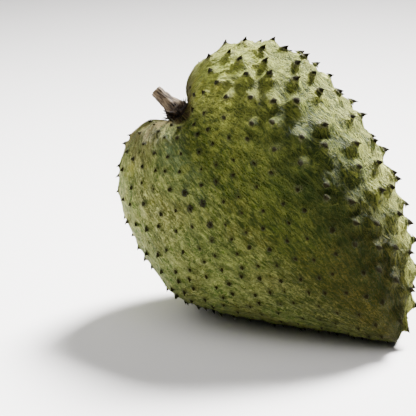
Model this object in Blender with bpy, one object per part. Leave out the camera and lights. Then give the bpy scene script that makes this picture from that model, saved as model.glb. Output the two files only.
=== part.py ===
"""A soursop: a heart-shaped, soft-spined tropical fruit lying on its side, with its woody stalk.

Run it with: blender --background --python part.py
Lengths are metres and +Z is up. The fruit rests on the plane Z = 0 and is seen from -Y.
"""

import math

import bmesh
import bpy
import numpy as np
from mathutils import Matrix, Vector

MM = 0.001

# The fruit's own frame has the stalk's seat at its origin. +Z points out along the stalk, away from
# the tip, +X towards the upper lobe and -Y towards the front face.
AXIS_LENGTH = 206 * MM
TIP_BEND = 10 * MM
SEAT_RADIUS = 10.5 * MM

# The outline from the stalk's seat to the tip, in eight directions 45 degrees apart round the axis:
# upper lobe, upper front, front, lower front, lower lobe, lower back, back, upper back.
# Brim, in millimetres: how far the shoulder rises past the seat, and how far out it is highest.
BRIM_RISE = (20, 6, -7, 6, 16, 10, 3, 10)
BRIM_RADIUS = (32, 27, 19, 21, 26, 25, 22, 28)
# Girth, in millimetres: the largest radius, and how far below the seat it lies.
GIRTH_RADIUS = (87.5, 81, 60, 66, 85, 89, 79, 82)
GIRTH_DEPTH = (45, 58, 72, 78, 80, 84, 74, 54)
# Toe: how far the flank keeps its width, and how blunt the tip is, as shares of what is left.
TOE_LENGTH = (0.62, 0.58, 0.50, 0.34, 0.20, 0.22, 0.42, 0.55)
TOE_WIDTH = (0.29, 0.40, 0.50, 0.26, 0, 0.10, 0.36, 0.38)

# Shares of the outline where the seat ends, the shoulder is highest and the girth is widest.
SEAT_AT = 0.03
BRIM_AT = 0.16
GIRTH_AT = 0.42

# How the fruit lies: its tip nods towards -Y, its stalk leans left, and the whole reclines from -Y.
# Its own weight presses the underside flat. The flat spot's middle is the origin.
NOD = math.radians(9)
LEAN = math.radians(43.5)
RECLINE = math.radians(18)
REST_SINK = 2.8 * MM
REST_X = 84 * MM
REST_Y = -46 * MM

# Spines, one on each areole, in the spiral order that the areoles grow in. They crowd round the
# azimuth CROWD_AT and thin out opposite it. SCATTER is a share of the step between neighbours. They
# are worn by the share SPINE_WORN on the front, and larger by SPINE_STOUT on the upper flank.
SPINES = 400
GOLDEN_ANGLE = math.pi * (3 - math.sqrt(5))
CROWDING = 0.35
CROWD_AT = math.radians(150)
SCATTER = 0.2
SPINE_SIDES = 4
SPINE_RADIUS = 2.1 * MM
SPINE_HEIGHT = 2.6 * MM
SPINE_HOOK = 1.5 * MM
SPINE_WORN = 0.3
SPINE_STOUT = 0.5
MOUNDS_FROM = 0.055
BARE_TO = 0.13
BARE_ABOVE_REST = 2 * MM

# The low mounds that the spines stand on are highest on the upper lobe's outer flank. The skin's
# outline runs at MOUND_MIDDLE of their height. MOUND_SHOULDER is where a mound's side is sampled, as
# a share of the way to the next spine.
MOUND_HEIGHT = 3.3 * MM
MOUND_MIDDLE = 0.5
MOUND_SHOULDER = 0.3
MOUND_AT = math.radians(16)

# Plain rings of points line the hollow round the stalk: share of the outline, and their number.
HOLLOW_RINGS = ((SEAT_AT, 16), (0.065, 18), (0.09, 20), (0.115, 22))

# The stalk: height above the seat, sideways bend and radius at each station of its length.
STALK_ROOT = 7 * MM
STALK_ROOT_RADIUS = 5.6 * MM
STALK_GAP = 0.35 * MM
STALK_STATIONS = (
    (0.4, 0, 9.2),
    (3.5, 0, 9.2),
    (7, 0, 7.8),
    (11, 0.1, 6.0),
    (15, 0.3, 5.0),
    (20, 0.6, 4.3),
    (24.5, 0.8, 4.1),
    (26, 0.9, 3.9),
)
STALK_SIDES = 16
SEPALS = 3
SEPAL_LENGTH = 6 * MM
SEPAL_RADIUS = 2.1 * MM

SEED = 7


def round_axis(values, phi):
    """Values given in eight directions, joined by a smooth closed curve and read at azimuth phi."""
    values = np.asarray(values, float)
    place = (np.asarray(phi) / (math.pi / 4)) % 8
    first = np.floor(place).astype(int)
    t = place - first
    before, start, end, after = (values[(first + i) % 8] for i in (-1, 0, 1, 2))
    return 0.5 * (
        2 * start
        + (end - before) * t
        + (2 * before - 5 * start + 4 * end - after) * t**2
        + (3 * start - before - 3 * end + after) * t**3
    )


def bezier(a, b, c, d, t):
    return a * (1 - t) ** 3 + 3 * b * t * (1 - t) ** 2 + 3 * c * t**2 * (1 - t) + d * t**3


def outline(u, phi):
    """Depth below the seat and radius, in metres, at share u of the way from seat to tip."""
    rise, brim, girth, waist = (
        round_axis(v, phi) * MM for v in (BRIM_RISE, BRIM_RADIUS, GIRTH_RADIUS, GIRTH_DEPTH)
    )
    toe_length, toe_width = (round_axis(v, phi) for v in (TOE_LENGTH, TOE_WIDTH))
    seat, tip = SEAT_RADIUS, AXIS_LENGTH

    t = np.clip((u - SEAT_AT) / (BRIM_AT - SEAT_AT), 0, 1)
    wall_depth = bezier(0, -0.55 * rise, -rise, -rise, t)
    wall_radius = bezier(seat, seat, seat + 0.45 * (brim - seat), brim, t)
    t = np.clip((u - BRIM_AT) / (GIRTH_AT - BRIM_AT), 0, 1)
    shoulder_depth = bezier(-rise, -rise, waist - 0.58 * (waist + rise), waist, t)
    shoulder_radius = bezier(brim, brim + 0.56 * (girth - brim), girth, girth, t)
    t = np.clip((u - GIRTH_AT) / (1 - GIRTH_AT), 0, 1)
    toe_depth = bezier(waist, waist + toe_length * (tip - waist), tip, tip, t)
    toe_radius = bezier(girth, girth, toe_width * girth, 0, t)

    depth = np.where(u < BRIM_AT, wall_depth, np.where(u < GIRTH_AT, shoulder_depth, toe_depth))
    radius = np.where(u < BRIM_AT, wall_radius, np.where(u < GIRTH_AT, shoulder_radius, toe_radius))
    on_seat = u < SEAT_AT
    return np.where(on_seat, 0, depth), np.where(on_seat, seat * u / SEAT_AT, radius)


def skin(u, phi):
    """Points of the fruit's skin in its own frame."""
    u, phi = np.broadcast_arrays(np.asarray(u, float), np.asarray(phi, float))
    depth, radius = outline(u, phi)
    bend = TIP_BEND * np.clip(depth / AXIS_LENGTH, 0, 1) ** 2
    return np.stack([radius * np.cos(phi), -radius * np.sin(phi) - bend, -depth], axis=-1)


def lay_down():
    """Turns the fruit's own frame to how it lies, without the height."""
    return (
        Matrix.Rotation(-RECLINE, 3, "X")
        @ Matrix.Rotation(-LEAN, 3, "Y")
        @ Matrix.Rotation(-NOD, 3, "X")
    )


class Fruit:
    """The skin as a map from directions on a unit sphere, so that equal areas stay nearly equal.

    A direction's height on the sphere is the share of skin area, and its azimuth is the areole's.
    """

    def __init__(self):
        u = np.linspace(0, 1, 401)
        phi = np.linspace(0, 2 * math.pi, 181)
        grid = skin(u[:, None], phi[None, :])
        down = np.diff(grid[:, :-1], axis=0)
        across = np.diff(grid, axis=1)[:-1]
        area = np.linalg.norm(np.cross(down, across), axis=-1).sum(axis=1)
        self.share = np.concatenate([[0], np.cumsum(area) / area.sum()])
        self.u = u
        self.turn = np.array(lay_down())
        self.lift = -(grid.reshape(-1, 3) @ self.turn.T)[:, 2].min() - REST_SINK

    def place(self, direction):
        """Share of the outline and azimuth of a direction on the sphere."""
        height = np.clip(direction[..., 2], -1, 1)
        u = np.interp((1 - height) / 2, self.share, self.u)
        v = np.arctan2(direction[..., 1], direction[..., 0])
        return u, v - CROWDING * np.sin(v - CROWD_AT)

    def stand(self, points):
        """Points of the fruit's own frame, as the fruit lies."""
        return points @ self.turn.T + (-REST_X, -REST_Y, self.lift)

    def point(self, direction):
        return self.stand(skin(*self.place(direction)))

    def frame(self, direction):
        """The skin's rates of change along the sphere's meridian and parallel, and its normal."""
        flat = np.stack([-direction[..., 1], direction[..., 0], 0 * direction[..., 0]], axis=-1)
        across = flat / np.linalg.norm(flat, axis=-1, keepdims=True)
        down = np.cross(across, direction)
        step = 1e-3
        rates = [
            (self.point(unit(direction + step * t)) - self.point(unit(direction - step * t))) / (2 * step)
            for t in (down, across)
        ]
        return down, across, rates[0], rates[1], unit(np.cross(rates[1], rates[0]))

    def direction(self, u, v):
        """The sphere's direction at share u of the outline and sphere azimuth v."""
        height = 1 - 2 * np.interp(u, self.u, self.share)
        flat = np.sqrt(np.clip(1 - height**2, 0, 1))
        return np.stack([flat * np.cos(v), flat * np.sin(v), height], axis=-1)


def unit(v):
    return v / np.linalg.norm(v, axis=-1, keepdims=True)


def upper_flank(u, phi):
    """1 over the upper lobe's outer flank, falling to 0 by its crown and on the opposite side."""
    round_it = np.clip(1.8 * (0.5 + 0.5 * np.cos(phi - MOUND_AT)) ** 4, 0, 1)
    return round_it * np.clip((u - 0.12) / 0.2, 0, 1)


def mound_height(u, phi):
    """Full height on the upper lobe's outer flank, a fifth of it on the opposite side."""
    fade = np.clip((u - MOUNDS_FROM) / 0.12, 0, 1) * np.clip((1 - u) / 0.08, 0.3, 1)
    return MOUND_HEIGHT * fade * (0.2 + 0.8 * upper_flank(u, phi))


def spine_size(u, phi):
    """Largest on the upper flank, smallest where worn on the front and towards the tip."""
    facing = np.clip(np.sin(phi), 0, 1) ** 2 * np.clip((u - 0.2) / 0.15, 0, 1)
    low = np.clip(0.5 - 0.8 * np.cos(phi), 0, 1) * np.clip((u - 0.45) / 0.2, 0, 1)
    return (1 - SPINE_WORN * np.maximum(facing, low)) * (1 + SPINE_STOUT * upper_flank(u, phi))


def areoles(fruit, rng):
    """Directions of the areoles that carry a spine: none by the stalk or against the rest."""
    k = np.arange(SPINES)
    height = 1 - 2 * (k + 0.5) / SPINES
    flat = np.sqrt(1 - height**2)
    direction = np.stack(
        [flat * np.cos(k * GOLDEN_ANGLE), flat * np.sin(k * GOLDEN_ANGLE), height], axis=-1
    )
    step = math.sqrt(4 * math.pi / SPINES)
    direction = unit(direction + rng.uniform(-SCATTER, SCATTER, direction.shape) * step)
    u, _ = fruit.place(direction)
    clear = fruit.point(direction)[:, 2] > BARE_ABOVE_REST
    return direction[(u > BARE_TO) & clear]


def spine_roots(fruit, direction, rng):
    """For each areole, directions of the points where its spine leaves the skin."""
    down, across, rate_down, rate_across, _ = fruit.frame(direction)
    e1 = unit(rate_down)
    e2 = unit(rate_across - (rate_across * e1).sum(-1, keepdims=True) * e1)
    slope = (rate_across * e1).sum(-1) / np.linalg.norm(rate_down, axis=-1)
    width = (rate_across * e2).sum(-1)
    start = rng.uniform(0, 2 * math.pi, len(direction))
    u, phi = fruit.place(direction)
    radius = SPINE_RADIUS * spine_size(u, phi) * rng.uniform(0.85, 1.15, len(direction))
    roots = []
    for side in range(SPINE_SIDES):
        angle = start + 2 * math.pi * side / SPINE_SIDES
        b = radius * np.sin(angle) / width
        a = radius * np.cos(angle) / np.linalg.norm(rate_down, axis=-1) - slope * b
        roots.append(unit(direction + a[:, None] * down + b[:, None] * across))
    return np.stack(roots, axis=1)


def hull_faces(directions):
    """Triangles that join points on the unit sphere to a closed skin."""
    bm = bmesh.new()
    verts = [bm.verts.new(d) for d in directions]
    bm.verts.index_update()
    bmesh.ops.convex_hull(bm, input=verts)
    faces = [[v.index for v in f.verts] for f in bm.faces]
    bm.free()
    return faces


def make_fruit(collection):
    fruit = Fruit()
    rng = np.random.default_rng(SEED)
    direction = areoles(fruit, rng)
    count = len(direction)
    roots = spine_roots(fruit, direction, rng)

    # Valley points: the middle of each triangle of neighbouring areoles, and of each of its sides
    # where mounds are high. There each mound has a shoulder point towards each neighbour too.
    cells = hull_faces(direction)
    between = unit(np.array([direction[f].mean(axis=0) for f in cells]))
    valleys = between[fruit.place(between)[0] > BARE_TO]
    pairs = np.array(sorted({tuple(sorted(pair)) for f in cells for pair in zip(f, f[1:] + f[:1])}))
    start, end = direction[pairs[:, 0]], direction[pairs[:, 1]]
    middle = unit(start + end)
    u, phi = fruit.place(middle)
    high = (upper_flank(u, phi) > 0.3) & (u > BARE_TO) & (fruit.point(middle)[:, 2] > BARE_ABOVE_REST)
    start, end = start[high], end[high]
    shoulders = [unit(a + MOUND_SHOULDER * (b - a)) for a, b in ((start, end), (end, start))]

    hollow = [fruit.direction(np.zeros(1), np.zeros(1))]
    for u_ring, number in HOLLOW_RINGS:
        v = 2 * math.pi * (np.arange(number) + 0.5) / number
        hollow.append(fruit.direction(np.full(number, u_ring), v))
    tip = fruit.direction(np.ones(1), np.zeros(1))
    valleys = np.concatenate([valleys, unit(start + end)])
    groups = [roots.reshape(-1, 3), *shoulders, *hollow, tip, valleys, plain_on_rest(fruit)]
    sphere = np.concatenate(groups)

    # A mound's profile: 1 at its spine, 0 half way to the next.
    profile = [1] + 2 * [math.cos(math.pi * MOUND_SHOULDER) ** 2] + (len(groups) - 3) * [0]
    crest = np.repeat(profile, [len(group) for group in groups])
    co = fruit.point(sphere)
    lift = mound_height(*fruit.place(sphere)) * (crest - MOUND_MIDDLE)
    inner = sphere.copy()
    inner[np.abs(sphere[:, 2]) > 0.99999] += (1e-3, 0, 0)
    co += fruit.frame(unit(inner))[4] * lift[:, None]
    co[:, 2] = np.maximum(co[:, 2], 0)

    bm = bmesh.new()
    verts = [bm.verts.new(c) for c in co]
    caps = {}
    for face in hull_faces(sphere):
        spine = {i // SPINE_SIDES if i < count * SPINE_SIDES else -1 for i in face}
        if len(spine) == 1 and -1 not in spine:
            caps.setdefault(spine.pop(), []).append(face)
        else:
            bm.faces.new([verts[i] for i in face])

    _, _, rate_down, _, normal = fruit.frame(direction)
    size = spine_size(*fruit.place(direction))
    height = SPINE_HEIGHT * size * rng.uniform(0.75, 1.2, count)
    sway = rng.normal(0, 0.25, (count, 3))
    hook = SPINE_HOOK * size * rng.uniform(0.6, 1.4, count)
    base = co[: count * SPINE_SIDES].reshape(count, SPINE_SIDES, 3).mean(axis=1)
    tips = base + height[:, None] * unit(normal + sway * 0.4) + hook[:, None] * unit(rate_down)
    tips[:, 2] = np.maximum(tips[:, 2], 0)
    for spine, faces in caps.items():
        ring = [verts[spine * SPINE_SIDES + side] for side in range(SPINE_SIDES)]
        if len(faces) == SPINE_SIDES - 2:
            cap = bm.faces.new(ring)
            bmesh.ops.poke(bm, faces=[cap])["verts"][0].co = tips[spine]
        else:
            for face in faces:
                bm.faces.new([verts[i] for i in face])

    bmesh.ops.recalc_face_normals(bm, faces=bm.faces)
    obj = add_object(collection, "fruit", bm, (0.24, 0.31, 0.1), 0.55)
    print("fruit spines", len(caps), "of", count, "faces", len(obj.data.polygons))
    return obj, fruit


def plain_on_rest(fruit):
    """Plain points over the part of the skin that lies on the rest, where no spine stands."""
    k = np.arange(SPINES * 5)
    height = 1 - 2 * (k + 0.5) / (SPINES * 5)
    flat = np.sqrt(1 - height**2)
    direction = np.stack(
        [flat * np.cos(k * GOLDEN_ANGLE), flat * np.sin(k * GOLDEN_ANGLE), height], axis=-1
    )
    return direction[fruit.point(direction)[:, 2] < 0.7 * BARE_ABOVE_REST]


def add_object(collection, name, bm, colour, roughness):
    mesh = bpy.data.meshes.new(name)
    bm.to_mesh(mesh)
    bm.free()
    obj = bpy.data.objects.new(name, mesh)
    collection.objects.link(obj)
    material = bpy.data.materials.new(name)
    material.use_nodes = True
    shader = material.node_tree.nodes["Principled BSDF"]
    shader.inputs["Base Color"].default_value = (*colour, 1)
    shader.inputs["Roughness"].default_value = roughness
    mesh.materials.append(material)
    return obj


def boolean(obj, cutter, operation):
    modifier = obj.modifiers.new(operation.title(), "BOOLEAN")
    modifier.operation = operation
    modifier.solver = "EXACT"
    modifier.object = cutter
    bpy.context.view_layer.update()
    solid = bpy.data.meshes.new_from_object(obj.evaluated_get(bpy.context.evaluated_depsgraph_get()))
    obj.modifiers.clear()
    old = obj.data
    obj.data = solid
    solid.name = obj.name
    bpy.data.meshes.remove(old)


def seat_matrix(fruit):
    """Places objects built in the fruit's own frame."""
    x, y, z = fruit.stand(np.zeros(3))
    return Matrix.Translation((x, y, z)) @ lay_down().to_4x4()


def make_stalk(collection, cutters, fruit):
    """Round bars joined end to end: a root that sits in the fruit, a collar, and a bent stem."""
    bm = bmesh.new()
    rings = [(-STALK_ROOT, 0, STALK_ROOT_RADIUS), (STALK_STATIONS[0][0] * MM, 0, STALK_ROOT_RADIUS)]
    rings += [(z * MM, x * MM, r * MM) for z, x, r in STALK_STATIONS]
    loops = []
    for i, (z, x, r) in enumerate(rings):
        before, after = rings[max(i - 1, 2)], rings[min(i + 1, len(rings) - 1)]
        tilt = math.atan2(after[1] - before[1], after[0] - before[0]) if i > 2 else 0
        place = Matrix.Translation((-x, 0, z)) @ Matrix.Rotation(-tilt, 4, "Y")
        loop = bmesh.ops.create_circle(bm, segments=STALK_SIDES, radius=r, matrix=place)["verts"]
        for lower, upper in zip(loops[-1:], [loop]):
            for j in range(STALK_SIDES):
                k = (j + 1) % STALK_SIDES
                bm.faces.new((lower[j], lower[k], upper[k], upper[j]))
        loops.append(loop)
    bm.faces.new(loops[0])
    bm.faces.new(loops[-1])
    bmesh.ops.recalc_face_normals(bm, faces=bm.faces)
    stalk = add_object(collection, "stalk", bm, (0.2, 0.13, 0.07), 0.8)

    for i in range(SEPALS):
        bm = bmesh.new()
        turn = Matrix.Rotation(math.radians(40) + 2 * math.pi * i / SEPALS, 4, "Z")
        place = turn @ Matrix.Translation((7 * MM, 0, 4 * MM)) @ Matrix.Rotation(0.9, 4, "Y")
        bmesh.ops.create_cone(
            bm,
            cap_ends=True,
            segments=6,
            radius1=SEPAL_RADIUS,
            radius2=SEPAL_RADIUS * 0.25,
            depth=SEPAL_LENGTH,
            matrix=place @ Matrix.Translation((0, 0, 0.25 * SEPAL_LENGTH)),
        )
        sepal = add_object(cutters, "sepal_%d" % (i + 1), bm, (0.15, 0.1, 0.05), 0.8)
        boolean(stalk, sepal, "UNION")
    stalk.data.transform(seat_matrix(fruit))
    return stalk


def cut_socket(obj, cutters, fruit):
    """The plain round hole that the stalk's root sits in."""
    bm = bmesh.new()
    depth = STALK_ROOT + STALK_GAP
    bmesh.ops.create_cone(
        bm,
        cap_ends=True,
        segments=24,
        radius1=STALK_ROOT_RADIUS + STALK_GAP,
        radius2=STALK_ROOT_RADIUS + STALK_GAP,
        depth=2 * depth,
    )
    socket = add_object(cutters, "socket_cutter", bm, (0.5, 0.5, 0.5), 0.5)
    socket.data.transform(seat_matrix(fruit))
    boolean(obj, socket, "DIFFERENCE")


def main():
    for obj in list(bpy.data.objects):
        bpy.data.objects.remove(obj, do_unlink=True)
    parts = bpy.data.collections.new("soursop")
    cutters = bpy.data.collections.new("cutters")
    for collection in (parts, cutters):
        bpy.context.scene.collection.children.link(collection)
    obj, fruit = make_fruit(parts)
    cut_socket(obj, cutters, fruit)
    make_stalk(parts, cutters, fruit)
    for cutter in cutters.objects:
        cutter.hide_render = True
        cutter.display_type = "WIRE"


if __name__ == "__main__":
    main()
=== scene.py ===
"""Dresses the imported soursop: a dense rind with mounds and folds, soft hooked spines, a woody stalk."""

import math
import random

import bmesh
import bpy
import numpy as np
from bpy.props import FloatProperty, FloatVectorProperty, IntProperty, PointerProperty
from mathutils import Matrix, Vector, noise


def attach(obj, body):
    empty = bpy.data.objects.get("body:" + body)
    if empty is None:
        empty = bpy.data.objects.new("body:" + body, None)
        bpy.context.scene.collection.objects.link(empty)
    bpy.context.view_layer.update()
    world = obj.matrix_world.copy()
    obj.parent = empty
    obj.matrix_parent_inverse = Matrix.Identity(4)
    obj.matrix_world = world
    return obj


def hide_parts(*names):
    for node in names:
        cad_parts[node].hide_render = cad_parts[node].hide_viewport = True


bl_info = {
    "name": "Soursop",
    "version": (1, 0, 0),
    "blender": (4, 5, 0),
    "location": "3D View > Sidebar > Soursop",
    "description": "Grows a soursop's rind, spines and stalk on its packed frame",
    "category": "Object",
}

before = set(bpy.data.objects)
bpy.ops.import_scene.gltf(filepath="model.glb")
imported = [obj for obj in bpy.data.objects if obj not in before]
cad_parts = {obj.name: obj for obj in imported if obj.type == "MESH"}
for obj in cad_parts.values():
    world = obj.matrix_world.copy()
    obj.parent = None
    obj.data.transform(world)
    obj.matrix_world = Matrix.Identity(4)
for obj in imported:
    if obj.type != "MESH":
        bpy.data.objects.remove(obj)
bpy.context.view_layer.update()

MM = 0.001

# Form, as in the part's source: the fruit's own frame has the stalk's seat at its origin, +Z out
# along the stalk, +X towards the upper lobe and -Y towards the front face.
AXIS_LENGTH = 206 * MM
TIP_BEND = 10 * MM
SEAT_RADIUS = 10.5 * MM
BRIM_RISE = (20, 6, -7, 6, 16, 10, 3, 10)
BRIM_RADIUS = (32, 27, 19, 21, 26, 25, 22, 28)
GIRTH_RADIUS = (87.5, 81, 60, 66, 85, 89, 79, 82)
GIRTH_DEPTH = (45, 58, 72, 78, 80, 84, 74, 54)
TOE_LENGTH = (0.62, 0.58, 0.50, 0.34, 0.20, 0.22, 0.42, 0.55)
TOE_WIDTH = (0.29, 0.40, 0.50, 0.26, 0, 0.10, 0.36, 0.38)
SEAT_AT, BRIM_AT, GIRTH_AT = 0.03, 0.16, 0.42
NOD, LEAN, RECLINE = math.radians(9), math.radians(43.5), math.radians(18)
REST_SINK, REST_X, REST_Y = 2.8 * MM, 84 * MM, -46 * MM

# Areoles and spines, drawn in the same order as in the part's source.
AREOLES = 400
GOLDEN_ANGLE = math.pi * (3 - math.sqrt(5))
CROWDING, CROWD_AT, SCATTER = 0.35, math.radians(150), 0.2
SPINE_HEIGHT, SPINE_HOOK, SPINE_RADIUS = 2.6 * MM, 1.5 * MM, 2.1 * MM
SPINE_WORN, SPINE_STOUT = 0.3, 0.5
MOUNDS_FROM, BARE_TO, BARE_ABOVE_REST = 0.055, 0.13, 2 * MM
MOUND_HEIGHT, MOUND_MIDDLE, MOUND_AT = 3.3 * MM, 0.5, math.radians(16)
SEED = 7


def unit(v):
    return v / np.linalg.norm(v, axis=-1, keepdims=True)


def round_axis(values, phi):
    """Values given in eight directions, joined by a smooth closed curve and read at azimuth phi."""
    values = np.asarray(values, float)
    place = (np.asarray(phi) / (math.pi / 4)) % 8
    first = np.floor(place).astype(int)
    t = place - first
    before, start, end, after = (values[(first + i) % 8] for i in (-1, 0, 1, 2))
    return 0.5 * (
        2 * start
        + (end - before) * t
        + (2 * before - 5 * start + 4 * end - after) * t**2
        + (3 * start - before - 3 * end + after) * t**3
    )


def bezier(a, b, c, d, t):
    """Cubic curve from a to d with the handles b and c, at share t."""
    return a * (1 - t) ** 3 + 3 * b * t * (1 - t) ** 2 + 3 * c * t**2 * (1 - t) + d * t**3


def outline(u, phi):
    """Depth below the seat and radius, in metres, at share u of the way from seat to tip."""
    rise, brim, girth, waist = (
        round_axis(v, phi) * MM for v in (BRIM_RISE, BRIM_RADIUS, GIRTH_RADIUS, GIRTH_DEPTH)
    )
    toe_length, toe_width = (round_axis(v, phi) for v in (TOE_LENGTH, TOE_WIDTH))
    seat, tip = SEAT_RADIUS, AXIS_LENGTH

    t = np.clip((u - SEAT_AT) / (BRIM_AT - SEAT_AT), 0, 1)
    wall_depth = bezier(0, -0.55 * rise, -rise, -rise, t)
    wall_radius = bezier(seat, seat, seat + 0.45 * (brim - seat), brim, t)
    t = np.clip((u - BRIM_AT) / (GIRTH_AT - BRIM_AT), 0, 1)
    shoulder_depth = bezier(-rise, -rise, waist - 0.58 * (waist + rise), waist, t)
    shoulder_radius = bezier(brim, brim + 0.56 * (girth - brim), girth, girth, t)
    t = np.clip((u - GIRTH_AT) / (1 - GIRTH_AT), 0, 1)
    toe_depth = bezier(waist, waist + toe_length * (tip - waist), tip, tip, t)
    toe_radius = bezier(girth, girth, toe_width * girth, 0, t)

    depth = np.where(u < BRIM_AT, wall_depth, np.where(u < GIRTH_AT, shoulder_depth, toe_depth))
    radius = np.where(u < BRIM_AT, wall_radius, np.where(u < GIRTH_AT, shoulder_radius, toe_radius))
    on_seat = u < SEAT_AT
    return np.where(on_seat, 0, depth), np.where(on_seat, seat * u / SEAT_AT, radius)


def skin(u, phi):
    """Points of the fruit's skin in its own frame."""
    u, phi = np.broadcast_arrays(np.asarray(u, float), np.asarray(phi, float))
    depth, radius = outline(u, phi)
    bend = TIP_BEND * np.clip(depth / AXIS_LENGTH, 0, 1) ** 2
    return np.stack([radius * np.cos(phi), -radius * np.sin(phi) - bend, -depth], axis=-1)


def lay_down():
    """Turns the fruit's own frame to how it lies, without the height."""
    return (
        Matrix.Rotation(-RECLINE, 3, "X")
        @ Matrix.Rotation(-LEAN, 3, "Y")
        @ Matrix.Rotation(-NOD, 3, "X")
    )


def upper_flank(u, phi):
    """1 over the upper lobe's outer flank, falling to 0 by its crown and on the opposite side."""
    round_it = np.clip(1.8 * (0.5 + 0.5 * np.cos(phi - MOUND_AT)) ** 4, 0, 1)
    return round_it * np.clip((u - 0.12) / 0.2, 0, 1)


def mound_height(u, phi):
    """Full height on the upper lobe's outer flank, a fifth of it on the opposite side."""
    fade = np.clip((u - MOUNDS_FROM) / 0.12, 0, 1) * np.clip((1 - u) / 0.08, 0.3, 1)
    return MOUND_HEIGHT * fade * (0.2 + 0.8 * upper_flank(u, phi))


def spine_size(u, phi):
    """Largest on the upper flank, smallest where worn on the front and towards the tip."""
    facing = np.clip(np.sin(phi), 0, 1) ** 2 * np.clip((u - 0.2) / 0.15, 0, 1)
    low = np.clip(0.5 - 0.8 * np.cos(phi), 0, 1) * np.clip((u - 0.45) / 0.2, 0, 1)
    return (1 - SPINE_WORN * np.maximum(facing, low)) * (1 + SPINE_STOUT * upper_flank(u, phi))


class Fruit:
    """The skin as a map from directions on a unit sphere, with the areoles that grow on it."""

    def __init__(self):
        self.u = np.linspace(0, 1, 401)
        phi = np.linspace(0, 2 * math.pi, 181)
        grid = skin(self.u[:, None], phi[None, :])
        area = np.linalg.norm(np.cross(np.diff(grid[:, :-1], axis=0), np.diff(grid, axis=1)[:-1]), axis=-1)
        area = area.sum(axis=1)
        self.share = np.concatenate([[0], np.cumsum(area) / area.sum()])
        step = np.linalg.norm(np.diff(grid, axis=0), axis=-1).mean(axis=1)
        self.arc = np.concatenate([[0], np.cumsum(step)])
        self.turn = np.array(lay_down())
        self.lift = -(grid.reshape(-1, 3) @ self.turn.T)[:, 2].min() - REST_SINK

    def place(self, direction):
        """Share of the way from seat to tip, and azimuth."""
        height = np.clip(direction[..., 2], -1, 1)
        v = np.arctan2(direction[..., 1], direction[..., 0])
        return np.interp((1 - height) / 2, self.share, self.u), v - CROWDING * np.sin(v - CROWD_AT)

    def stand(self, points):
        """From the fruit's own frame to how it lies."""
        return points @ self.turn.T + (-REST_X, -REST_Y, self.lift)

    def point(self, direction):
        return self.stand(skin(*self.place(direction)))

    def rates(self, direction):
        """The skin's rates of change down its meridian and across it."""
        flat = np.stack([-direction[..., 1], direction[..., 0], 0 * direction[..., 0]], axis=-1)
        across = unit(flat)
        down = np.cross(across, direction)
        step = 1e-3
        return [
            (self.point(unit(direction + step * t)) - self.point(unit(direction - step * t))) / (2 * step)
            for t in (down, across)
        ]

    def areoles(self, rng):
        """Directions of the areoles: a scattered spiral, bare by the stalk and near the rest."""
        k = np.arange(AREOLES)
        height = 1 - 2 * (k + 0.5) / AREOLES
        flat = np.sqrt(1 - height**2)
        angle = k * GOLDEN_ANGLE
        direction = np.stack([flat * np.cos(angle), flat * np.sin(angle), height], axis=-1)
        step = math.sqrt(4 * math.pi / AREOLES)
        direction = unit(direction + rng.uniform(-SCATTER, SCATTER, direction.shape) * step)
        u, _ = self.place(direction)
        return direction[(u > BARE_TO) & (self.point(direction)[:, 2] > BARE_ABOVE_REST)]


def grow():
    """Everything that the skin and its spines share."""
    fruit = Fruit()
    rng = np.random.default_rng(SEED)
    direction = fruit.areoles(rng)
    count = len(direction)
    u, phi = fruit.place(direction)
    size = spine_size(u, phi)
    # The source turns its four-sided spines by this draw, and the round ones here need none.
    rng.uniform(0, 2 * math.pi, count)
    radius = SPINE_RADIUS * size * rng.uniform(0.85, 1.15, count)
    height = SPINE_HEIGHT * size * rng.uniform(0.75, 1.2, count)
    sway = rng.normal(0, 0.25, (count, 3))
    hook = SPINE_HOOK * size * rng.uniform(0.6, 1.4, count)
    down, across = fruit.rates(direction)
    normal = unit(np.cross(across, down))
    base = fruit.point(direction) + normal * (mound_height(u, phi) * (1 - MOUND_MIDDLE))[:, None]
    age = rng.uniform(0, 1, count)
    return fruit, dict(
        base=base, normal=normal, down=unit(down), radius=radius, height=height,
        sway=sway, hook=hook, u=u, phi=phi, age=age,
    )


FRUIT, SPINES = grow()


def nearest_areoles(points):
    """Distance in metres to the nearest and second nearest areole, and the nearest one's number."""
    first = np.empty(len(points))
    second = np.empty(len(points))
    which = np.empty(len(points), int)
    base = SPINES["base"]
    # In batches, to spare memory.
    for batch in np.array_split(np.arange(len(points)), 12):
        part = points[batch]
        d2 = ((part**2).sum(1)[:, None] + (base**2).sum(1)[None, :] - 2 * part @ base.T).clip(0)
        pair = np.argpartition(d2, 1, axis=1)[:, :2]
        first[batch], second[batch] = np.sqrt(np.sort(np.take_along_axis(d2, pair, axis=1), axis=1)).T
        which[batch] = d2.argmin(axis=1)
    return first, second, which


def flow_coordinates(u, phi):
    """Millimetre-true coordinates that run along the meridians, closed round the fruit."""
    arc = np.interp(u, FRUIT.u, FRUIT.arc)
    mean_radius = 60 * MM
    return np.stack([mean_radius * np.cos(phi), mean_radius * np.sin(phi), arc], axis=-1)


def noise_of(points, size):
    """Perlin noise, about -1 to 1, with features of the given size in metres."""
    return np.array([noise.noise(Vector(p / size)) for p in points])


def store(mesh, name, values):
    """Keeps a number or a vector for each vertex, for the materials."""
    values = np.asarray(values, np.float32)
    kind, key = ("FLOAT", "value") if values.ndim == 1 else ("FLOAT_VECTOR", "vector")
    mesh.attributes.new(name, kind, "POINT").data.foreach_set(key, values.ravel())


def new_object(name, vertices, faces, material):
    mesh = bpy.data.meshes.new(name)
    mesh.from_pydata(np.asarray(vertices).tolist(), [], faces)
    mesh.update()
    mesh.shade_smooth()
    mesh.materials.append(material)
    obj = bpy.data.objects.new(name, mesh)
    bpy.context.scene.collection.objects.link(obj)
    return obj


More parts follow.
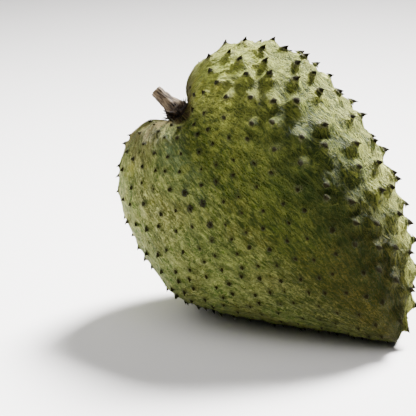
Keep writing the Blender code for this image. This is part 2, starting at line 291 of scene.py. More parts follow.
def tube_faces(rings, sides, start=0, capped=True):
    """Faces of a tube of rings of points that are numbered from start, with a cap at each end."""
    faces = []
    for i in range(rings - 1):
        for j in range(sides):
            a, b = start + i * sides + j, start + i * sides + (j + 1) % sides
            faces.append((a, b, b + sides, a + sides))
    if capped:
        last = start + (rings - 1) * sides
        faces.append(tuple(range(last, last + sides)))
        faces.append(tuple(range(start, start + sides))[::-1])
    return faces


def press_on_rest(points):
    """What lies on the rest is pressed flat there."""
    points[:, 2] = np.maximum(points[:, 2], 0)
    return points


def dress(obj, node):
    """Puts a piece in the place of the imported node, on the only body."""
    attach(obj, "root")
    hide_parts(node)


def linear(colour):
    """sRGB hex, such as 7a8c3f, to linear RGBA."""
    values = [int(colour[i : i + 2], 16) / 255 for i in (0, 2, 4)]
    return tuple(c / 12.92 if c <= 0.04045 else ((c + 0.055) / 1.055) ** 2.4 for c in values) + (1,)


def add(tree, kind, inputs=None, **settings):
    """Adds a node, sets its properties, and fills its inputs or links them.

    inputs maps an input's name or number to a value or to another node's output socket. The setting
    "stops" gives a colour ramp its positions and colours.
    """
    node = tree.nodes.new(kind)
    stops = settings.pop("stops", ())
    for key, value in settings.items():
        setattr(node, key, value)
    for key, value in (inputs or {}).items():
        if isinstance(value, bpy.types.NodeSocket):
            tree.links.new(value, node.inputs[key])
        else:
            node.inputs[key].default_value = value
    for i, (position, colour) in enumerate(stops):
        element = node.color_ramp.elements[i] if i < 2 else node.color_ramp.elements.new(position)
        element.position = position
        element.color = colour
    return node


def empty_material(name):
    material = bpy.data.materials.new(name)
    material.use_nodes = True
    material.node_tree.nodes.clear()
    return material, material.node_tree


def rind_material(settings):
    """Waxy soursop rind, grown: thin stretched flecks of pale wax over green, dark at each spine.

    To the eye it is a dull, slightly greasy skin whose flecks run from stalk to tip: creamy on the
    upper lobe's ridges, deep green painted shade between its mounds, olive on the front, grey-green by the
    stalk.
    """
    material, tree = empty_material("waxy_grown_rind")

    def held(term):
        """A number or socket as it is, and (socket, start, end, low, high) as a line held at its ends."""
        if not isinstance(term, tuple):
            return term
        socket, start, end, low, high = (*term, 0, 1)[:5]
        return add(tree, "ShaderNodeMapRange", {0: socket, 1: start, 2: end, 3: low, 4: high}).outputs[0]

    def joined(operation, *terms):
        """The terms, joined from left to right by one operation."""
        result = held(terms[0])
        for term in terms[1:]:
            result = add(tree, "ShaderNodeMath", {0: result, 1: held(term)}, operation=operation).outputs[0]
        return result

    def mask(*terms):
        return joined("MULTIPLY", *terms)

    def layered(colour, *layers):
        """A colour with others laid over it, each as far as its own mask allows."""
        for cover, over in layers:
            inputs = {0: cover, 6: colour, 7: over}
            colour = add(tree, "ShaderNodeMix", inputs, data_type="RGBA").outputs[2]
        return colour

    def grain(vector, size_mm, offset, detail=3, rough=0.6, distortion=0.0):
        """Noise with features of size_mm. The offset sets it apart from the other patterns."""
        place = add(tree, "ShaderNodeVectorMath", {0: vector, 1: (offset, offset, offset)}).outputs[0]
        inputs = {"Scale": 1 / size_mm, "Detail": detail, "Roughness": rough, "Distortion": distortion}
        return add(tree, "ShaderNodeTexNoise", {"Vector": place, **inputs}).outputs["Fac"]

    def pattern(vector, size_mm, offset, start, end, **noise_settings):
        """Patches of size_mm, 0 where the noise is below start and 1 where it is above end."""
        return held((grain(vector, size_mm, offset, **noise_settings), start, end))

    def veins(vector, size_mm, offset):
        """A net of thin lines, 1 along their middle, with meshes of about size_mm."""
        middle = joined("SUBTRACT", grain(vector, size_mm, offset, distortion=1.0), 0.5)
        away = add(tree, "ShaderNodeMath", {0: middle}, operation="ABSOLUTE").outputs[0]
        return held((away, 0, 0.04, 1, 0))

    flow, zone = (
        add(tree, "ShaderNodeAttribute", attribute_name=name).outputs["Vector"] for name in ("flow", "zone")
    )
    near, age, tip, crest, ridge, stalk_near = (
        add(tree, "ShaderNodeAttribute", attribute_name=name).outputs["Fac"]
        for name in ("near", "age", "tip", "crest", "ridge", "stalk_near")
    )
    toward_upper, toward_front, down = add(tree, "ShaderNodeSeparateXYZ", {0: zone}).outputs

    # Places in millimetres. The smaller the share, the longer a pattern is drawn out down the meridian.
    even, grainy, stretched, lines = (
        add(tree, "ShaderNodeMapping", {0: flow, "Scale": (1000, 1000, 1000 * share)}).outputs[0]
        for share in (1, 0.6, 0.3, 0.15)
    )

    pale, cream, green, deep, olive = (
        (*getattr(settings, name), 1) for name in ("pale", "cream", "green", "deep", "olive")
    )

    # Where on the fruit the rind changes. Down runs from 0 at the stalk to 1 at the tip.
    on_upper = held((toward_upper, 0.25, 0.95))
    on_lower = held((toward_upper, -0.25, -0.8))
    on_front = held((toward_front, 0.45, 0.98))
    # Painted shade deepens low on the fruit's front, where it faces down.
    low = held((down, 0.38, 0.7))
    low_front = mask((down, 0.5, 0.72), (toward_front, 0.3, 0.8))
    flank = mask((joined("ADD", mask(toward_upper, 1.7), toward_front), 1.2, 1.85))
    # Painted shade: the band between the front and the upper lobe's outer flank, where the core shadow
    # falls, is painted deep green and its wax is thinned.
    shade_band = mask(
        (down, 0.32, 0.48), (toward_front, 0.4, 0.75), (toward_upper, 0.05, 0.35), (toward_upper, 0.94, 0.72)
    )
    # The upper lobe's crown, above the band.
    crown = mask((down, 0.48, 0.3), (toward_upper, 0.0, 0.35), (shade_band, 0, 1, 1, 0))
    # Low on the outer flank the light reaches the valleys between the mounds too: there they get no painted
    # shade, and pale wax is painted on them as painted light.
    lit_edge = mask((toward_upper, 0.6, 0.85), (down, 0.42, 0.56))
    # Painted shade: the valleys between the mounds on the outer flank.
    valley_shade = mask(flank, (crest, 0.5, 0.1), (down, 0.2, 0.34), (lit_edge, 0, 1, 1, 0))

    # Wax flecks, long ones on the front and the upper lobe and shorter ones elsewhere.
    facing = joined("ADD", mask(toward_upper, 0.5), toward_front)
    streaky = mask((facing, 0.2, 0.6), (down, 0.75, 0.5, 0.3, 1))
    long_flecks = pattern(stretched, 1.7, 0, 0.45, 0.57, detail=4, rough=0.7, distortion=0.5)
    short_flecks = pattern(grainy, 1.9, 0, 0.46, 0.56, detail=5, rough=0.75, distortion=1.2)
    flecks = joined("ADD", mask(long_flecks, streaky, 0.85), mask(short_flecks, (streaky, 0, 1, 1, 0)))
    strands = pattern(stretched, 4.2, 31, 0.44, 0.6, detail=4, rough=0.65, distortion=0.8)
    dark_flecks = pattern(stretched, 2.2, 57, 0.49, 0.57, detail=5, rough=0.75, distortion=0.5)
    speckles = pattern(even, 1.5, 47, 0.45, 0.56, detail=2)
    blotches = pattern(stretched, 7.5, 11, 0.42, 0.64, detail=4, rough=0.65)
    patches = pattern(even, 24, 3, 0.46, 0.66, rough=0.5)
    worn = pattern(grainy, 6, 65, 0.48, 0.6, detail=4, rough=0.7, distortion=1.0)
    # Two nets of raised lines and two of sunk ones.
    ridges = joined("MAXIMUM", veins(stretched, 7.0, 5), mask(veins(grainy, 4.0, 15), 0.7))
    creases = joined("MAXIMUM", veins(stretched, 5.5, 25), mask(veins(grainy, 3.2, 35), 0.7))

    ground = layered(
        green,
        (patches, olive),
        (mask(on_front, 0.6), olive),
        # Deep green blotches, and painted shade on the front that deepens towards the bottom.
        (joined("MAXIMUM", mask(blotches, 0.5), mask(on_front, low, 0.5)), deep),
        # Painted shade: deep green in the valleys between the mounds, where the crest is low.
        (mask(flank, (crest, 0.75, 0.15), (down, 0.2, 0.34), 0.9), deep),
        # Painted shade over the shaded band.
        (mask(shade_band, 0.85), deep),
        (mask(low_front, 0.7), linear("372f0d")),
        (mask(crown, 0.35), pale),
    )
    wax = layered(
        pale,
        (mask(on_upper, 0.85), cream),
        # Painted light: the upper lobe's outer rim, where the key light falls, takes a brighter yellow wax.
        (mask((toward_upper, 0.75, 0.95), 0.8), linear("dfe07c")),
        # Partly the front's own dull olive, partly painted shade on the front turned away from the key
        # light, darker towards the bottom.
        (mask(on_front, (low, 0, 1, 0.7, 1), (crown, 0, 1, 1, 0.2)), linear("4c5119")),
        (mask(low_front, 0.75), linear("7a6a2c")),
        (mask(on_lower, 0.7), linear("d2d283")),
        (mask(on_lower, (down, 0.25, 0.45), 0.5), linear("8f9a4e")),
    )
    # Wax is thick on the upper lobe's ridges and crown, thin in blotches and on the back; in the valleys and
    # the shaded band it is thinned as painted shade.
    cover = joined("MAXIMUM", flecks, mask(strands, (on_lower, 0, 1, 0.45, 0.7)))
    cover = mask(cover, (blotches, 0, 1, 1, 0.5))
    cover = joined("MAXIMUM", cover, mask(on_upper, ridge, 0.8), mask(crown, (strands, 0, 1, 0.35, 0.8)))
    # Painted light: pale wax over the valleys that the key light reaches low on the outer flank.
    cover = joined("MAXIMUM", cover, mask(lit_edge, (strands, 0, 1, 0.3, 0.8)))
    cover = mask(cover, (joined("MAXIMUM", valley_shade, mask(shade_band, 0.85)), 0, 1, 1, 0.1))
    cover = mask(cover, (mask(on_upper, worn), 0, 1, 1, 0.4), (toward_front, -0.15, -0.7, 1, 0.6))

    # The mounds' tops are bleached and corky where light reaches them.
    bleached = mask(
        flank, (crest, 0.45, 0.8), (down, 0.62, 0.45),
        pattern(even, 4.2, 19, 0.46, 0.56, detail=4, rough=0.7, distortion=0.6),
    )
    # Yellower, riper patches round the stalk's end.
    ripe = mask(pattern(even, 14, 83, 0.56, 0.7, rough=0.55), (down, 0.4, 0.25))
    # A grey-green bloom of wax on the front, a hand's breadth from the stalk.
    bloom = mask(
        (toward_upper, -0.25, -0.45), (toward_upper, -0.7, -0.5), (down, 0.22, 0.28), (down, 0.4, 0.3),
        pattern(even, 5, 40, 0.35, 0.65, detail=4, rough=0.7),
    )
    # Young tissue round each spine's foot is dark, raggedly so, and wider round old ones.
    ragged = mask(pattern(even, 1.5, 0, 0.3, 0.7, rough=0.7), 1.6)
    ring = held((joined("SUBTRACT", near, (age, 0, 1, 0.9, 1.8), ragged), -0.4, 0.6, 1, 0))
    # A few broken spines on the front left a dark bruise.
    uneven = mask(pattern(even, 1.6, 91, 0.35, 0.65, detail=4, rough=0.7), 2.6)
    bruise = mask(
        (joined("SUBTRACT", near, uneven), 0.7, 1.5, 1, 0), (age, 0.3, 0.32), (toward_front, 0.3, 0.5),
        (toward_upper, -0.22, -0.3), (toward_upper, -0.68, -0.6), (down, 0.33, 0.35), (down, 0.47, 0.45),
    )
    # Tan corky streaks converge on the stalk. They run further over the lower lobe's shoulder.
    streaks = pattern(lines, 4, 70, 0.46, 0.54, distortion=0.2)
    away = joined("ADD", stalk_near, (toward_upper, -0.35, -0.7, 0, -0.65))
    by_stalk = mask((away, 0.5, 1.1, 1, 0), (toward_upper, -1, -0.3, 0.75, 1), (streaks, 0, 1, 0.7, 0.9))
    # Dark brown torn tissue where the rind meets the stalk.
    torn = mask(
        (stalk_near, 0.4, 0.85, 1, 0),
        pattern(lines, 2.6, 60, 0.4, 0.56, detail=4, rough=0.7, distortion=0.4),
    )
    # Spines turn dark brown above their feet.
    above_foot = held((tip, 0.05, 0.3))

    colour = layered(
        ground,
        (cover, wax),
        (mask(dark_flecks, (on_front, 0, 1, 0.4, 0.8)), deep),
        (mask(speckles, (low_front, 0, 1, 0.28, 0.63)), deep),
        # On the lit upper lobe the sunk creases are painted deep green as painted shade, and the raised
        # ridges pale: wax, partly painted highlight.
        (mask(creases, (on_upper, 0, 1, 0.45, 0.9)), deep),
        (mask(ridges, (on_upper, 0, 1, 0.12, 0.57)), wax),
        (mask(bleached, 0.35), linear("b3aa82")),
        (mask(ripe, 0.5), linear("94922a")),
        (mask(bloom, 0.4), linear("6f8a62")),
        (mask(ring, 0.6), linear("2f3213")),
        (mask(bruise, 0.9), linear("1d1712")),
        (by_stalk, layered(linear("31270f"), (streaks, linear("77683c")))),
        (mask(torn, 0.85), linear("33241a")),
        (above_foot, linear("27240f")),
    )
    # Bare rind is a little duller than wax, and spines are duller still.
    bare = settings.roughness + 0.12
    rough = joined("MAXIMUM", (cover, 0, 1, bare, settings.roughness), mask(above_foot, 0.95))
    # The nets of lines are deepest on the upper flank.
    relief = joined(
        "ADD", mask(flecks, 0.4), mask(strands, 0.5), mask(joined("MAXIMUM", speckles, dark_flecks), -0.45),
        mask(joined("SUBTRACT", ridges, creases), (on_upper, 0, 1, 0.5, 2.2)),
    )
    bump = add(tree, "ShaderNodeBump", {"Height": relief, "Strength": 1.0, "Distance": 0.9 * MM})
    shader = add(
        tree, "ShaderNodeBsdfPrincipled",
        {
            "Base Color": colour, "Roughness": rough, "Normal": bump.outputs[0],
            "IOR": 1.4, "Specular IOR Level": 0.15,
        },
    )
    add(tree, "ShaderNodeOutputMaterial", {0: shader.outputs[0]})
    return material


def bark_material(settings):
    """Dry fruit stalk, weathered bark: grey-brown ridges along it, and a paler fibrous cut end."""
    material, tree = empty_material("dry_weathered_stalk")
    flow = add(tree, "ShaderNodeAttribute", attribute_name="flow").outputs["Vector"]
    end, collar = (
        add(tree, "ShaderNodeAttribute", attribute_name=name).outputs["Fac"] for name in ("end", "collar")
    )
    # Ridges 1.3 mm apart that run along the stalk, and spots of 2.2 mm.
    along, even = (
        add(tree, "ShaderNodeMapping", {0: flow, "Scale": (1000, 1000, 1000 * share)}).outputs[0]
        for share in (0.22, 1)
    )
    ridges, spots = (
        add(
            tree, "ShaderNodeTexNoise",
            {"Vector": vector, "Scale": 1 / size_mm, "Detail": detail, "Roughness": rough},
        ).outputs["Fac"]
        for vector, size_mm, detail, rough in ((along, 1.3, 4, 0.65), (even, 2.2, 3, 0.6))
    )
    bark, dark, cut = (
        add(
            tree, "ShaderNodeValToRGB", {0: grain},
            stops=[(position, linear(colour)) for position, colour in stops],
        ).outputs[0]
        for grain, *stops in (
            (ridges, (0.36, "231910"), (0.48, "4f3f2b"), (0.62, "7c6a50")),
            (spots, (0.4, "1a130d"), (0.56, "3f2e1f"), (0.7, "7d694c")),
            (spots, (0.4, "7d6040"), (0.6, "c3a57d")),
        )
    )
    colour = bark
    for cover, over in ((collar, dark), (end, cut)):
        colour = add(tree, "ShaderNodeMix", {0: cover, 6: colour, 7: over}, data_type="RGBA").outputs[2]
    bump = add(tree, "ShaderNodeBump", {"Height": ridges, "Strength": 0.8, "Distance": 0.5 * MM})
    shader = add(
        tree, "ShaderNodeBsdfPrincipled",
        {"Base Color": colour, "Normal": bump.outputs[0], "Roughness": settings.roughness, "IOR": 1.5},
    )
    add(tree, "ShaderNodeOutputMaterial", {0: shader.outputs[0]})
    return material


def card_material(settings):
    """Matt painted card, sprayed: an even pale ground with no shine."""
    material, tree = empty_material("matt_painted_card")
    shader = add(tree, "ShaderNodeBsdfPrincipled", {"Base Color": (*settings.ground, 1), "Roughness": 0.9})
    add(tree, "ShaderNodeOutputMaterial", {0: shader.outputs[0]})
    return material


# The rind's relief: where mounds die away from an areole, how wide a spine's foot is, and the sizes
# of wrinkles, lumps and folds. The materials read how near the stalk is in shares of STALK_REACH.
MOUND_REACH, MOUND_FADE, FOOT_RADIUS = 22 * MM, 10 * MM, 3 * MM
WRINKLE_SPACING, WRINKLE_SWAY, SWAY_LENGTH, LUMP_SPACING = 4.6 * MM, 3 * MM, 9 * MM, 30 * MM
FOLDS_AT, FOLDS_WIDTH, STALK_REACH = 13 * MM, 9 * MM, 30 * MM


def make_skin(settings, material):
    """The rind: a dense grid over the skin's formula, lifted by mounds, wrinkles, lumps and folds."""
    rows, columns = settings.rows, settings.columns
    arc = np.linspace(0, FRUIT.arc[-1], rows + 1)
    u = np.interp(arc, FRUIT.arc, FRUIT.u)[:, None]
    phi = (2 * math.pi * np.arange(columns) / columns)[None, :]
    uu, pp = np.broadcast_arrays(u, phi)
    local = skin(uu, pp)
    down = np.gradient(local, axis=0)
    across = np.roll(local, -1, axis=1) - np.roll(local, 1, axis=1)
    normal = np.cross(down, across)
    normal[0], normal[-1] = (0, 0, 1), (0, 0, -1)
    normal = unit(normal)
    centre = np.array((0, 0, -AXIS_LENGTH / 2))
    outward = np.sign((normal * (local - centre)).sum(-1).mean())
    normal = ((normal * outward) @ FRUIT.turn.T).reshape(-1, 3)
    points = FRUIT.stand(local).reshape(-1, 3)
    uu, pp = uu.ravel(), pp.ravel()

    # A mound stands round each areole, and dies away where the next one is far.
    first, second, which = nearest_areoles(points)
    crest = np.cos(math.pi * first / (first + second + 1e-9)) ** 2
    clear = np.clip((MOUND_REACH - first) / MOUND_FADE, 0, 1)
    mound = mound_height(uu, pp)
    lift = mound * ((1 + settings.valley) * crest * clear - MOUND_MIDDLE - settings.valley)
    lift += settings.foot_height * np.exp(-((first / FOOT_RADIUS) ** 2)) * clear

    # Wrinkles run down the meridians and sway a little. They are deepest where mounds are high, and
    # fade out at the seat and the tip.
    flow = flow_coordinates(uu, pp)
    sway = np.stack([noise_of(flow + k, SWAY_LENGTH) for k in (0, 0.5, 1)], axis=-1) * WRINKLE_SWAY
    wrinkle = noise_of((flow + sway) * (1, 1, 0.5), WRINKLE_SPACING)
    ridge = np.clip(1 - np.abs(wrinkle) * 4, 0, 1) ** 1.3
    lumps = noise_of(flow, LUMP_SPACING)
    poles = np.clip(uu / 0.05, 0, 1) * np.clip((1 - uu) / 0.03, 0, 1)
    rough = 0.35 + 0.65 * mound / MOUND_HEIGHT
    lift += (settings.wrinkle_depth * (ridge - 0.3) * rough + settings.lump_height * lumps) * poles

    # Folds converge on the stalk.
    radius = outline(uu, pp)[1]
    folds = np.exp(-(((radius - FOLDS_AT) / FOLDS_WIDTH) ** 2)) * (uu < BRIM_AT + 0.05)
    around = np.stack([np.cos(pp), np.sin(pp), 0 * pp], axis=-1)
    pleats = noise_of(around * 3.4 + (0, 0, 3), 1) + 0.6 * noise_of(around * 9, 1)
    lift += settings.fold_depth * folds * pleats
    points = press_on_rest(points + normal * lift[:, None])

    obj = new_object("rind", points, tube_faces(rows + 1, columns, capped=False), material)
    for name, values in (
        ("flow", flow), ("zone", np.stack([np.cos(pp), np.sin(pp), uu], axis=-1)), ("near", first / MM),
        ("age", SPINES["age"][which]), ("crest", crest), ("ridge", ridge),
        ("stalk_near", radius / STALK_REACH + 4 * (uu > 0.5)),
    ):
        store(obj.data, name, values)
    # The grid's first and last rings each close to a point.
    bm = bmesh.new()
    bm.from_mesh(obj.data)
    bmesh.ops.remove_doubles(bm, verts=bm.verts, dist=0.00001)
    bmesh.ops.recalc_face_normals(bm, faces=bm.faces)
    bm.to_mesh(obj.data)
    bm.free()
    obj.data.shade_smooth()
    dress(obj, "fruit")


# How deep a spine's foot is sunk in the rind, and the radius of its tip.
SPINE_SUNK, SPINE_TIP = 0.4 * MM, 0.25 * MM


def make_spines(settings, material):
    """Soft hooked spines: a flared foot sunk in the rind, then a bent cone to a fine tip."""
    rings, sides = settings.rings, settings.sides
    vertices, faces, tips, flow, near = [], [], [], [], []
    rnd = np.random.default_rng(SEED + 1)
    for n in range(len(SPINES["base"])):
        base, normal, down = (SPINES[key][n] for key in ("base", "normal", "down"))
        side = np.cross(normal, down)
        radius, height, hook = (SPINES[key][n] for key in ("radius", "height", "hook"))
        axis = unit(normal + SPINES["sway"][n] * 0.4)
        curl = rnd.normal(0, 0.35)
        start = len(vertices)
        coordinates = flow_coordinates(SPINES["u"][n], SPINES["phi"][n])
        squash = rnd.uniform(0.75, 1.1)
        for i in range(rings + 1):
            t = i / rings
            centre = base - normal * SPINE_SUNK + axis * (0.85 * height + SPINE_SUNK) * t
            centre = centre + (down * hook + side * hook * curl) * t**2
            r = radius * ((1 - t) ** 0.75 * 0.8 + 0.25 * math.exp(-t / 0.1) * (1 - t))
            if i == rings:
                r = SPINE_TIP
            for j in range(sides):
                a = 2 * math.pi * j / sides
                rim = 1 + 0.12 * math.sin(3 * a + n)
                vertices.append(centre + r * rim * (down * math.cos(a) + side * math.sin(a) * squash))
                tips.append(t)
                flow.append(coordinates + np.array((math.cos(a), math.sin(a), t * 3)) * r)
                near.append(r / MM)
        faces += tube_faces(rings + 1, sides, start)
    obj = new_object("spines", press_on_rest(np.array(vertices)), faces, material)
    zone = np.stack([np.cos(SPINES["phi"]), np.sin(SPINES["phi"]), SPINES["u"]], axis=-1)
    of_each = (rings + 1) * sides
    for name, values in (
        ("tip", tips), ("flow", flow), ("zone", zone.repeat(of_each, axis=0)), ("near", near),
        ("age", SPINES["age"].repeat(of_each)), ("stalk_near", np.full(len(vertices), 5)),
        ("crest", np.ones(len(vertices))), ("ridge", np.full(len(vertices), 0.3)),
    ):
        store(obj.data, name, values)
    dress(obj, "fruit")


# The stalk's root, then its stations as in the part's source: height, sideways bend and radius in
# millimetres.
STALK_STATIONS = (
    (-5, 0, 5.2),
    (0.4, 0, 9.2),
    (3.5, 0, 9.2),
    (7, 0, 7.8),
    (11, 0.1, 6.0),
    (15, 0.3, 5.0),
    (20, 0.6, 4.3),
    (24.5, 0.8, 4.1),
    (26, 0.9, 3.9),
)
STALK_HEIGHTS, STALK_BENDS, STALK_RADII = np.array(STALK_STATIONS, float).T * MM

# The cut end is a shallow dish of fibres inside the bark's rim: shares of its width, and their
# depths in millimetres.
CUT_RINGS = ((0.86, 0.1), (0.55, 0.5), (0.2, 0.35), (0.02, 0.3))


def make_stalk(settings, material):
    """The woody stalk: rings through the stations, smoothed, with ridges, knobs and a cut end."""
    rings, sides = settings.rings, settings.sides
    stations = np.linspace(0, 1, len(STALK_STATIONS))
    t = np.linspace(0, 1, rings)
    z, x, r = (np.interp(t, stations, values) for values in (STALK_HEIGHTS, STALK_BENDS, STALK_RADII))
    kernel = np.array((0.25, 0.5, 0.25))
    for _ in range(6):
        for values in (z, x, r):
            values[1:-1] = np.convolve(values, kernel, mode="valid")
    angle = 2 * math.pi * np.arange(sides) / sides
    centre = np.stack([-x, 0 * x, z], axis=-1)
    tangent = unit(np.gradient(centre, axis=0))
    e1 = unit(np.cross((0, 1, 0), tangent))
    e2 = np.cross(tangent, e1)
    cosine, sine = np.cos(angle)[None, :, None], np.sin(angle)[None, :, None]
    ring = cosine * e1[:, None, :] + sine * e2[:, None, :]
    arc = np.concatenate([[0], np.cumsum(np.linalg.norm(np.diff(centre, axis=0), axis=-1))])
    # Millimetre-true coordinates along the bark, closed round the stalk.
    mean_radius = 5 * MM
    around = (mean_radius * cosine, mean_radius * sine, arc[:, None, None])
    flow = np.concatenate(np.broadcast_arrays(*around), axis=-1)
    ridges = noise_of((flow * (1, 1, 0.16)).reshape(-1, 3), 1.7 * MM).reshape(rings, sides)
    knots = noise_of(flow.reshape(-1, 3) + 1, 3.2 * MM).reshape(rings, sides)
    collar = np.clip(1 - (z - 4 * MM) / (5 * MM), 0, 1)[:, None]
    lift = settings.ridge_depth * ridges + settings.knot_height * knots * (0.25 + 0.75 * collar)
    points = centre[:, None, :] + ring * (r[:, None] + lift)[..., None]

    ends, end_flow = [], []
    for share, sink in CUT_RINGS:
        rough = noise_of((flow[-1] * share + 7), 1.1 * MM) * 0.25 * MM
        middle = centre[-1] - tangent[-1] * sink * MM
        ends.append(middle + (points[-1] - centre[-1]) * share + tangent[-1] * rough[:, None])
        end_flow.append(flow[-1] * (share, share, 1))
    points = np.concatenate([points, ends])
    flow = np.concatenate([flow, end_flow])
    end = np.zeros((len(points), sides))
    end[rings:] = 1
    collars = np.zeros((len(points), sides))
    collars[:rings] = collar
    faces = tube_faces(len(points), sides)
    obj = new_object("stalk_bark", FRUIT.stand(points.reshape(-1, 3)), faces, material)
    store(obj.data, "flow", flow.reshape(-1, 3))
    store(obj.data, "end", end.ravel())
    store(obj.data, "collar", collars.ravel())
    dress(obj, "stalk")


# Three dried sepals stand round the collar, with bristles between them.
SEPAL_LENGTH, SEPAL_WIDTH, COLLAR_HEIGHT, STUB_SUNK = 7.5 * MM, 2.6 * MM, 8 * MM, 0.8 * MM


def make_collar_bits(settings, material):
    """Dried sepals and bristly stubs round the stalk's collar, in one piece."""
    rnd = random.Random(SEED)
    vertices, faces, flow = [], [], []
    rings, sides = 7, 6
    for n in range(settings.stubs):
        around = 2 * math.pi * n / settings.stubs + rnd.uniform(-0.2, 0.2)
        large = n % (settings.stubs // 3) == 0
        length = SEPAL_LENGTH if large else rnd.uniform(1.6, 4.4) * MM
        width = SEPAL_WIDTH if large else rnd.uniform(0.5, 1.3) * MM
        height = rnd.uniform(0.6 * MM, COLLAR_HEIGHT)
        out = np.array((math.cos(around), math.sin(around), 0))
        x, r = (np.interp(height, STALK_HEIGHTS, values) for values in (STALK_BENDS, STALK_RADII))
        root = np.array((-x, 0, height)) + out * (r - STUB_SUNK)
        lean = unit(out + np.array((0, 0, rnd.uniform(0.1, 0.9))))
        side = unit(np.cross(lean, (0, 0, 1)))
        flat = np.cross(side, lean)
        start = len(vertices)
        for i in range(rings):
            t = i / (rings - 1)
            centre = root + lean * length * t + np.array((0, 0, 1)) * length * 0.35 * t * t
            w = width * (1 - t) ** 0.8 + 0.08 * MM
            for j in range(sides):
                a = 2 * math.pi * j / sides
                vertices.append(centre + side * w * math.cos(a) + flat * w * 0.45 * math.sin(a))
                flow.append((w * math.cos(a) + n * 0.003, w * math.sin(a), length * t))
        faces += tube_faces(rings, sides, start)
    obj = new_object("collar_stubs", FRUIT.stand(np.array(vertices)), faces, material)
    store(obj.data, "flow", flow)
    store(obj.data, "collar", np.ones(len(vertices)))
    dress(obj, "stalk")


# The stage: a card that runs flat under the fruit and sweeps up behind it, in metres.
CARD_FRONT, CARD_SWEEP, SWEEP_RADIUS, CARD_TOP, CARD_SIDE = -3, 2.6, 0.6, 2.0, 4
FRUIT_MIDDLE = Vector((-0.02, 0.02, 0.08))


def make_card(settings):
    """The pale card under and behind the fruit."""
    turn = np.linspace(0, math.pi / 2, 16)
    sweep = zip(CARD_SWEEP + SWEEP_RADIUS * np.sin(turn), SWEEP_RADIUS * (1 - np.cos(turn)))
    profile = [(CARD_FRONT, 0), *sweep, (CARD_SWEEP + SWEEP_RADIUS, CARD_TOP)]
    vertices = [(x, y, z) for x in (-CARD_SIDE, CARD_SIDE) for y, z in profile]
    size = len(profile)
    faces = [(i, i + size, i + size + 1, i + 1) for i in range(size - 1)]
    card = new_object("card", vertices, faces, card_material(settings))


class RindSettings(bpy.types.PropertyGroup):
    rows: IntProperty(name="Rows", description="Rings of the rind from stalk to tip", default=270, min=60)
    columns: IntProperty(name="Columns", description="Points of each ring", default=360, min=60)
    wrinkle_depth: FloatProperty(
        name="Wrinkle depth", description="Height of the fine wrinkles that run from stalk to tip",
        default=1.0 * MM, unit="LENGTH", precision=5,
    )
    valley: FloatProperty(
        name="Valley", description="Extra depth between the mounds, as a share of their height",
        subtype="FACTOR", default=0.25, min=0, max=1,
    )
    lump_height: FloatProperty(
        name="Lump height", description="Height of the broad uneven lumps of the flesh",
        default=0.9 * MM, unit="LENGTH", precision=5,
    )
    fold_depth: FloatProperty(
        name="Fold depth", description="Height of the folds that converge on the stalk",
        default=1.2 * MM, unit="LENGTH", precision=5,
    )
    foot_height: FloatProperty(
        name="Foot height", description="How far the rind rises at each spine's foot",
        default=0.35 * MM, unit="LENGTH", precision=5,
    )
    pale: FloatVectorProperty(
        name="Wax flecks", description="Pale wax flecks", subtype="COLOR",
        default=linear("d0d565")[:3], size=3,
    )
    cream: FloatVectorProperty(
        name="Ridges", description="Paler wax on the upper lobe", subtype="COLOR",
        default=linear("c4cf48")[:3], size=3,
    )
    green: FloatVectorProperty(
        name="Green", description="Rind between the flecks", subtype="COLOR",
        default=linear("4c6e1d")[:3], size=3,
    )
    deep: FloatVectorProperty(
        name="Deep green", description="Darkest rind", subtype="COLOR",
        default=linear("1c2c05")[:3], size=3,
    )
    olive: FloatVectorProperty(
        name="Olive", description="Riper, browner rind", subtype="COLOR",
        default=linear("504d0b")[:3], size=3,
    )
    roughness: FloatProperty(
        name="Roughness", description="Waxy dullness of the rind", subtype="FACTOR",
        default=0.55, min=0, max=1,
    )


class SpineSettings(bpy.types.PropertyGroup):
    rings: IntProperty(name="Rings", description="Rings of points up each spine", default=6, min=3)
    sides: IntProperty(name="Sides", description="Points round each spine", default=8, min=4)


class StalkSettings(bpy.types.PropertyGroup):
    rings: IntProperty(name="Rings", description="Rings of points along the stalk", default=70, min=12)
    sides: IntProperty(name="Sides", description="Points round the stalk", default=72, min=12)
    ridge_depth: FloatProperty(
        name="Ridge depth", description="Height of the ridges along the bark",
        default=0.55 * MM, unit="LENGTH", precision=5,
    )
    knot_height: FloatProperty(
        name="Knot height", description="Height of the knobs at the collar",
        default=2.2 * MM, unit="LENGTH", precision=5,
    )
    stubs: IntProperty(
        name="Stubs", description="Dried sepals and bristles at the collar", default=84, min=3
    )
    roughness: FloatProperty(
        name="Roughness", description="Dryness of the bark", subtype="FACTOR", default=0.85, min=0, max=1
    )


class StageSettings(bpy.types.PropertyGroup):
    ground: FloatVectorProperty(
        name="Ground", description="Colour of the card", subtype="COLOR",
        default=linear("f3f0ee")[:3], size=3,
    )
    key: FloatProperty(name="Key light", description="Softbox behind on the right, in watts", default=50)
    overhead: FloatProperty(name="Overhead light", description="Large softbox above, in watts", default=18)
    fill: FloatProperty(name="Fill light", description="Softbox at the left, in watts", default=15)
    sky: FloatProperty(name="Ambient light", description="Strength of the room's light", default=0.06)
    aim: FloatVectorProperty(
        name="Camera aim", description="Point that the camera looks at", subtype="TRANSLATION",
        default=(-0.0673, 0.0446, 0.0656), size=3, precision=4,
    )
    elevation: FloatProperty(
        name="Camera elevation", description="Camera's height above the horizon", unit="ROTATION",
        default=math.radians(18),
    )
    distance: FloatProperty(
        name="Camera distance", description="From the camera to what it aims at", unit="LENGTH",
        default=1.25,
    )
    width: FloatProperty(
        name="View width", description="Width of what the camera sees at the fruit", unit="LENGTH",
        default=0.2829, precision=4,
    )


def settings_of(context, name):
    """The settings that register keeps on the scene for one group of pieces."""
    return getattr(context.scene, "soursop_" + name)


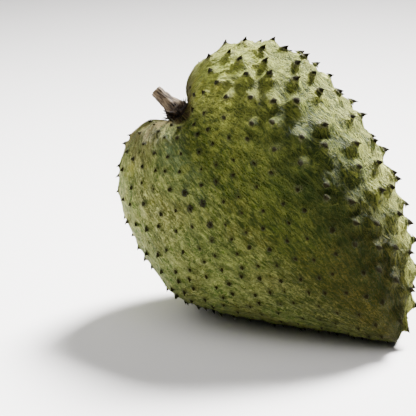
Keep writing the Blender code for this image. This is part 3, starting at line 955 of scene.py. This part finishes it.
def shared_material(name, make, settings):
    """A material by its name, made the first time it is asked for."""
    return bpy.data.materials.get(name) or make(settings)


class SOURSOP_OT_rind(bpy.types.Operator):
    """Grow the rind with its mounds, wrinkles and folds"""

    bl_idname = "soursop.rind"
    bl_label = "Rind"

    def execute(self, context):
        settings = settings_of(context, "rind")
        make_skin(settings, shared_material("waxy_grown_rind", rind_material, settings))
        return {"FINISHED"}


class SOURSOP_OT_spines(bpy.types.Operator):
    """Grow the soft hooked spines on their areoles"""

    bl_idname = "soursop.spines"
    bl_label = "Spines"

    def execute(self, context):
        material = shared_material("waxy_grown_rind", rind_material, settings_of(context, "rind"))
        make_spines(settings_of(context, "spines"), material)
        return {"FINISHED"}


class SOURSOP_OT_stalk(bpy.types.Operator):
    """Grow the woody stalk, its cut end and its bristly collar"""

    bl_idname = "soursop.stalk"
    bl_label = "Stalk"

    def execute(self, context):
        settings = settings_of(context, "stalk")
        material = shared_material("dry_weathered_stalk", bark_material, settings)
        make_stalk(settings, material)
        make_collar_bits(settings, material)
        return {"FINISHED"}


class SOURSOP_OT_stage(bpy.types.Operator):
    """Set up the pale card, the soft lights and the camera"""

    bl_idname = "soursop.stage"
    bl_label = "Stage"

    def execute(self, context):
        settings = settings_of(context, "stage")
        make_card(settings)

        for name, watts, width, spread, place in (
            ("key", settings.key, 1.1, 32, (1.3, 1.9, 2.6)),
            ("overhead", settings.overhead, 1.6, 180, (-0.4, -0.1, 1.9)),
            ("fill", settings.fill, 1.2, 180, (-1.55, -0.35, 1.35)),
        ):
            data = bpy.data.lights.new(name, "AREA")
            data.energy = watts
            data.size = width
            data.spread = math.radians(spread)
            light = bpy.data.objects.new(name, data)
            context.scene.collection.objects.link(light)
            light.location = place
            light.rotation_euler = (FRUIT_MIDDLE - light.location).to_track_quat("-Z", "Y").to_euler()

        world = bpy.data.worlds.new("room")
        world.use_nodes = True
        background = world.node_tree.nodes["Background"]
        background.inputs[0].default_value = (*linear("f2f3f5")[:3], 1)
        background.inputs[1].default_value = settings.sky
        context.scene.world = world

        data = bpy.data.cameras.new("camera")
        data.lens = data.sensor_width * settings.distance / settings.width
        camera = bpy.data.objects.new("camera", data)
        context.scene.collection.objects.link(camera)
        back = Vector((0, -math.cos(settings.elevation), math.sin(settings.elevation)))
        camera.location = Vector(settings.aim) + back * settings.distance
        camera.rotation_euler = (-back).to_track_quat("-Z", "Y").to_euler()
        context.scene.camera = camera
        return {"FINISHED"}


class SOURSOP_PT_panel(bpy.types.Panel):
    """Buttons and sizes for each piece of the soursop"""

    bl_idname = "SOURSOP_PT_panel"
    bl_label = "Soursop"
    bl_space_type = "VIEW_3D"
    bl_region_type = "UI"
    bl_category = "Soursop"

    def draw(self, context):
        for name, group in GROUPS.items():
            box = self.layout.box()
            box.operator("soursop." + name)
            for key in group.__annotations__:
                box.prop(settings_of(context, name), key)


GROUPS = {"rind": RindSettings, "spines": SpineSettings, "stalk": StalkSettings, "stage": StageSettings}
CLASSES = (
    *GROUPS.values(),
    SOURSOP_OT_rind, SOURSOP_OT_spines, SOURSOP_OT_stalk, SOURSOP_OT_stage, SOURSOP_PT_panel,
)


def register():
    for cls in CLASSES:
        bpy.utils.register_class(cls)
    for name, group in GROUPS.items():
        setattr(bpy.types.Scene, "soursop_" + name, PointerProperty(type=group))


def unregister():
    for name in GROUPS:
        delattr(bpy.types.Scene, "soursop_" + name)
    for cls in reversed(CLASSES):
        bpy.utils.unregister_class(cls)


def main():
    register()
    bpy.ops.soursop.rind()
    bpy.ops.soursop.spines()
    bpy.ops.soursop.stalk()
    bpy.ops.soursop.stage()


if __name__ == "__main__":
    main()
